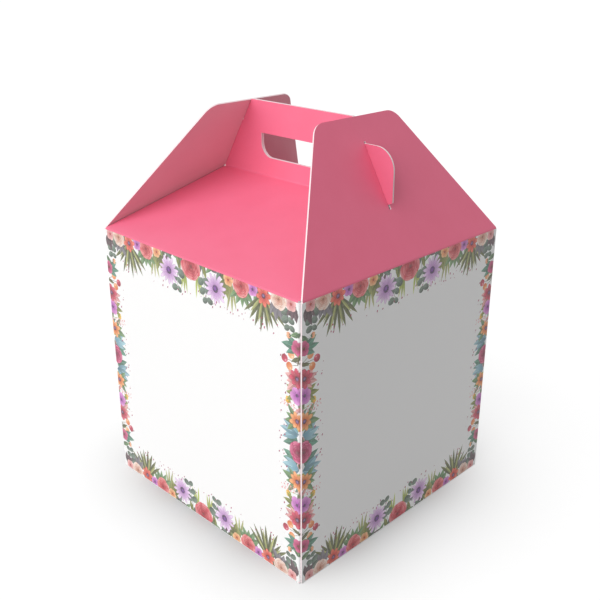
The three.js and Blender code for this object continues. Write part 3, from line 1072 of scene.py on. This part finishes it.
DOME_ABOVE = 0.63
DOME_BELOW = 0.03
KEY_STRENGTH = 2.75
KEY_FROM = Vector((-0.14, -0.88, 0.37))
KEY_ANGLE = math.radians(80)
FLOOR_GLOW = 0.80
# Painted shadow on the floor round the box: its depth, the width it fades over, its corner rounding and
# the shift of its middle.
SHADE_DEPTH = 0.44
SHADE_WIDTH = 37 * MM
SHADE_ROUNDING = 80 * MM
SHADE_SHIFT = (3 * MM, -1 * MM, 0)
FLOOR_REACH = 12
BACKDROP_RADIUS = 18


def camera():
    flat = math.cos(CAMERA_ELEVATION)
    back = Vector(
        (
            math.sin(CAMERA_AZIMUTH) * flat,
            -math.cos(CAMERA_AZIMUTH) * flat,
            math.sin(CAMERA_ELEVATION),
        )
    )
    data = bpy.data.cameras.new("camera")
    data.lens = CAMERA_LENS
    data.clip_end = 100
    made = bpy.data.objects.new("camera", data)
    made.location = CAMERA_TARGET + CAMERA_DISTANCE * back
    made.rotation_mode = "QUATERNION"
    made.rotation_quaternion = (-back).to_track_quat("-Z", "Y")
    bpy.context.scene.collection.objects.link(made)
    bpy.context.scene.camera = made


def lights():
    """A soft key from the front, and a dome that is brighter above than below."""
    data = bpy.data.lights.new("key", "SUN")
    data.energy = KEY_STRENGTH
    data.angle = KEY_ANGLE
    made = bpy.data.objects.new("key", data)
    made.rotation_mode = "QUATERNION"
    made.rotation_quaternion = (-KEY_FROM).to_track_quat("-Z", "Y")
    bpy.context.scene.collection.objects.link(made)

    world = bpy.data.worlds.new("dome")
    bpy.context.scene.world = world
    finish = Finish(world)
    direction = finish.node("ShaderNodeTexCoord", outlet="Generated")
    height = finish.node("ShaderNodeSeparateXYZ", {}, {0: direction}, "Z")
    share = finish.node(
        "ShaderNodeMapRange", {}, {"Value": height, "From Min": -0.15, "From Max": 0.15}
    )
    below, above = [DOME_BELOW] * 3, [DOME_ABOVE] * 3
    shader = finish.node("ShaderNodeBackground", {}, {"Color": finish.mix(share, below, above)})
    finish.end("ShaderNodeOutputWorld", shader)


def stage_piece(name, bm, shader_of):
    """A piece of the set, which lights nothing."""
    mesh = bpy.data.meshes.new(name)
    bm.to_mesh(mesh)
    bm.free()
    finish = Finish(bpy.data.materials.new(name))
    finish.end("ShaderNodeOutputMaterial", shader_of(finish))
    finish.owner.cycles.emission_sampling = "NONE"
    mesh.materials.append(finish.owner)
    made = bpy.data.objects.new(name, mesh)
    bpy.context.scene.collection.objects.link(made)
    made.visible_diffuse = False
    return made


def floor_shader(finish):
    """A pale floor that glows a little and evenly, with a painted shadow round the box: it glows less
    close to the box.
    """

    def vector_sum(operation, *inputs, outlet=0):
        return finish.node(
            "ShaderNodeVectorMath", {"operation": operation}, dict(enumerate(inputs)), outlet
        )

    away = vector_sum("ABSOLUTE", vector_sum("SUBTRACT", finish.place(), SHADE_SHIFT))
    straight = HALF - SHADE_ROUNDING
    past = vector_sum("MAXIMUM", vector_sum("SUBTRACT", away, (straight, straight, 1)), (0, 0, 0))
    gap = vector_sum("LENGTH", past, outlet="Value") - SHADE_ROUNDING
    # Painted shadow: the glow drops by up to SHADE_DEPTH near the box, fading over SHADE_WIDTH, with
    # rounded corners.
    painted_shadow_fade = finish.node("ShaderNodeMath", {"operation": "EXPONENT"}, {0: gap * (-1 / SHADE_WIDTH)})
    glow_with_painted_shadow = FLOOR_GLOW - painted_shadow_fade * SHADE_DEPTH
    inputs = {
        "Base Color": (0.25, 0.25, 0.25, 1),
        "Roughness": 0.9,
        "Specular IOR Level": 0.1,
        "Emission Color": glow_with_painted_shadow,
        "Emission Strength": 1.0,
    }
    return finish.node("ShaderNodeBsdfPrincipled", {}, inputs, "BSDF")


def stage():
    """The floor and the bright backdrop."""
    bm = bmesh.new()
    bmesh.ops.create_grid(bm, x_segments=1, y_segments=1, size=FLOOR_REACH)
    stage_piece("floor", bm, floor_shader)
    bm = bmesh.new()
    bmesh.ops.create_icosphere(bm, subdivisions=3, radius=BACKDROP_RADIUS)
    backdrop = stage_piece(
        "backdrop", bm, lambda finish: finish.node("ShaderNodeEmission", {}, {"Strength": 1.0})
    )
    backdrop.visible_shadow = False
    backdrop.visible_glossy = False
    backdrop.visible_transmission = False
    bpy.context.scene.view_settings.view_transform = "Standard"


camera()
lights()
stage()
border_patches = draw_border()
walls(border_patches)
corner_folds(border_patches)
bottom()
roofs()
gables()
handles()
hand_flap()
lid_folds()
